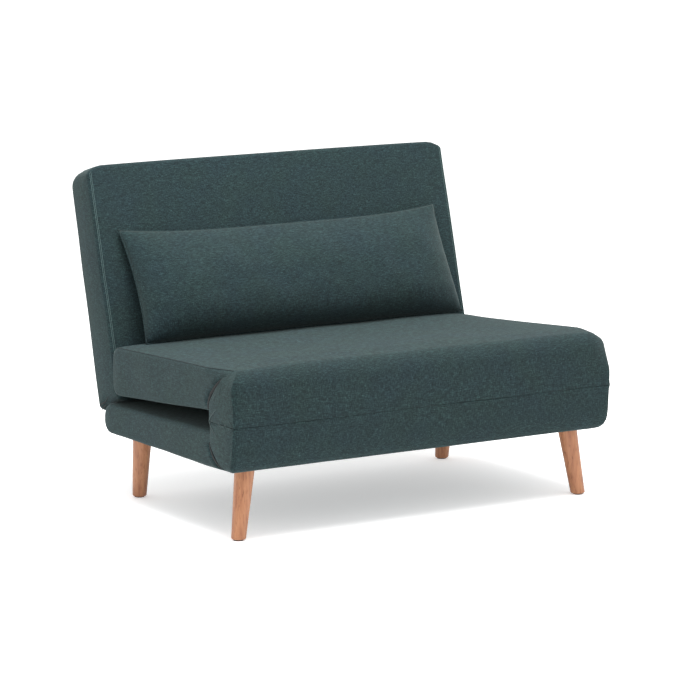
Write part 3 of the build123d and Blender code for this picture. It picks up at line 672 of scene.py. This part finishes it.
def cushion_point(s, t, face):
    """A point of the filled cushion; s runs end to end and t foot to top, both from -1 to 1."""
    end, height = abs(s), (t + 1) / 2
    x = s * CUSHION_WIDE / 2 - (END_TUCK if s > 0 else -END_TUCK) * (1 - t * t) * end ** 6
    up = height * CUSHION_TALL - TOP_SAG * height ** 1.5 * (1 - end ** 4)
    settled = t + 0.22 * (1 - t * t)
    full = (1 - end ** 7) ** 0.6 * max(0.0, 1 - abs(settled) ** 2.5) ** 0.62
    at_end = max(0.0, (end - 0.80) / 0.20)
    at_seam = max(0.0, (abs(t) - 0.55) / 0.45)
    pucker = 2.6 * sin(t * 23 + 2 * s) * at_end ** 1.5 * (1 - at_end ** 6)
    wander = 3 * noise.noise(Vector((s * 5, t, 0)))
    pucker += 1.5 * sin(s * 90 + wander) * at_seam * (1 - at_seam ** 4)
    soft = ripple(Vector((x, up, 0.4 * face)), 0.11, 5 * MM) + ripple(
        Vector((x, up, 0.9 * face)), 0.045, 1.6 * MM)
    out = full * ((FULL_REAR if face > 0 else FULL_FRONT) + soft + pucker * MM)
    y, z = (Vector((sin(CUSHION_TILT), cos(CUSHION_TILT))) * up
            + Vector((cos(CUSHION_TILT), -sin(CUSHION_TILT))) * out * face).to_tuple()
    return rest_cushion(Vector((x, CUSHION_FOOT[0] + y, CUSHION_FOOT[1] + z)))


def rest_cushion(spot):
    """Presses a point of the cushion flat where it meets the backrest or the seat."""
    over = back_local(spot)[0] - BACK_FRONT + PRESSED
    if over > 0:
        spot.y -= over * 0.97 * cos(LEAN) * MM
        spot.z += over * 0.97 * sin(LEAN) * MM
    seat = 0.4605 - (spot.y - FOLD_Y - 0.09) * 0.042 + SEAT_CROWN * crown(spot.x, HALF)
    if spot.z < seat:
        spot.z = seat + (spot.z - seat) * 0.06
    return spot


def filled_case(name, step=8 * MM):
    """Two panels joined round their edge, each stood off the seam's plane by the filling."""
    wide, tall = round(CUSHION_WIDE / step), round(CUSHION_TALL / step)
    mesh = bmesh.new()
    rim = {}
    for face in (-1, 1):
        grid = {}
        for i in range(wide + 1):
            for j in range(tall + 1):
                if (i, j) in rim:
                    grid[i, j] = rim[i, j]
                    continue
                grid[i, j] = mesh.verts.new(cushion_point(i / wide * 2 - 1, j / tall * 2 - 1, face))
                if i in (0, wide) or j in (0, tall):
                    rim[i, j] = grid[i, j]
        for i in range(wide):
            for j in range(tall):
                corners = [grid[i, j], grid[i + 1, j], grid[i + 1, j + 1], grid[i, j + 1]]
                mesh.faces.new(corners if face < 0 else corners[::-1])
    bmesh.ops.recalc_face_normals(mesh, faces=mesh.faces)
    return mesh_piece(name, mesh)


cushion = filled_case("cushion_case")
finish_piece(cushion, cloth, "cushion")
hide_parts("cushion_cover", "cushion_filling")
edge = [cushion_point(k / 60 * 2 - 1, -1, -1) for k in range(61)]
edge += [cushion_point(1, k / 20 * 2 - 1, -1) for k in range(1, 21)]
edge += [cushion_point(1 - k / 60 * 2, 1, -1) for k in range(1, 61)]
edge += [cushion_point(-1, 1 - k / 20 * 2, -1) for k in range(1, 21)]
tube_along("cushion_edge_seam", edge, 2.0 * MM, cloth, "cushion")

# Legs: turned rubberwood, oiled; a warm, even, straight-grained timber with short dark
# pores along the leg, and a slightly glossy worn-smooth surface.
def oiled_wood(name, pale, warm, dark):
    """Straight-grained timber: bands drawn out along the leg, and fine dark pores."""
    made, tree, surface = new_material(name, Roughness=0.42, Specular_IOR_Level=0.4)
    place = add_node(tree, "TexCoord").outputs["Object"]
    drawn = add_node(tree, "Mapping", {"Vector": place}, Scale=(1, 1, 0.07)).outputs[0]
    grain = add_node(tree, "TexNoise", {"Vector": drawn}, Scale=90.0, Detail=5, Roughness=0.65)
    pores = add_node(tree, "TexNoise", {"Vector": drawn}, Scale=420.0, Detail=2)
    timber = colour_ramp(tree, grain.outputs[0], ((0.32, dark), (0.5, warm), (0.68, pale)))
    spots = colour_ramp(tree, pores.outputs[0], ((0.3, "#a8968a"), (0.42, "#ffffff")))
    tree.links.new(multiplied(tree, timber, spots, 0.7), surface.inputs["Base Color"])
    emboss(tree, surface, grain.outputs[0], 0.12, 0.4 * MM)
    return made


def dress(nodes, material):
    """Gives CAD nodes a material in place of the plain one they came with."""
    for name in nodes:
        slots = frame["nodes"][name].data.materials
        slots.clear()
        slots.append(material)


# Rubberwood: warm reddish tan, with short dark pores and a soft oiled gloss.
leg_wood = oiled_wood("rubberwood_turned_oiled", "#a87553", "#9c6948", "#865338")
dress(["leg_front_left", "leg_front_right", "leg_rear_left", "leg_rear_right"], leg_wood)
# Birch ply: pale cream, so the slats read as a lighter wood than the legs.
slat_wood = oiled_wood("birch_ply_bent", "#e0c79c", "#d4b684", "#bd9c69")
dress(["base_slats", "seat_slats", "back_slats"], slat_wood)

# Steelwork, plastics, foam and lining: powder-coated tube, zinc-plated pins, moulded caps.
def speckled(name, pale, dark, scale, depth, **shader):
    """A plain finish with the fine unevenness of its coating."""
    made, tree, surface = new_material(name, **shader)
    place = add_node(tree, "TexCoord").outputs["Object"]
    grit = add_node(tree, "TexNoise", {"Vector": place}, Scale=scale, Detail=4, Roughness=0.6)
    coating = colour_ramp(tree, grit.outputs[0], ((0.3, dark), (0.7, pale)))
    tree.links.new(coating, surface.inputs["Base Color"])
    emboss(tree, surface, grit.outputs[0], 0.2, depth)
    return made


# Powder coat: an even satin black with a very fine orange-peel skin.
powder_coat = speckled(
    "steel_powder_coated_black", "#26272a", "#1a1b1d", 900, 0.05 * MM, Roughness=0.5
)
# Zinc plate: a cool grey metal with soft, broken highlights.
zinc = speckled(
    "steel_zinc_plated", "#b9bcbf", "#9fa3a8", 300, 0.02 * MM, Roughness=0.32, Metallic=1.0
)
# Polypropylene: near black with the dull, waxy look of a moulding.
plastic = speckled(
    "polypropylene_moulded_black", "#202124", "#17181a", 700, 0.04 * MM, Roughness=0.55
)
# Rubber: matt black that hardly takes a highlight.
rubber = speckled("rubber_moulded_black", "#1d1d1e", "#131314", 500, 0.06 * MM, Roughness=0.8)
# Foam: cream, matt and open-celled.
foam = speckled("polyurethane_foam_cut", "#e6dcc0", "#d5c8a4", 350, 0.4 * MM, Roughness=0.95)
# Lining: thin bonded black cloth, dull and slightly hairy.
lining = speckled(
    "polypropylene_lining_bonded", "#1c1d1f", "#101112", 260, 0.2 * MM, Roughness=0.9
)
dress(["base_frame", "seat_frame", "back_frame", "leg_plates", "fold_hinge_lower_leaves",
       "fold_hinge_upper_leaves", "ratchet_plate_left", "ratchet_plate_right", "ratchet_arm_left",
       "ratchet_arm_right", "seat_leg_left", "seat_leg_right", "seat_leg_brackets",
       "back_leg_tube", "back_leg_brackets"], powder_coat)
dress(["leg_bolts", "fold_hinge_pins", "ratchet_pins", "back_leg_pins", "seat_leg_shaft"], zinc)
dress(["base_slat_caps", "seat_slat_caps", "back_slat_caps", "foot_glides"], plastic)
dress(["seat_leg_feet"], rubber)
dress(["base_foam", "seat_foam", "back_foam", "back_rear_pad"], foam)
dress(["dust_cover"], lining)
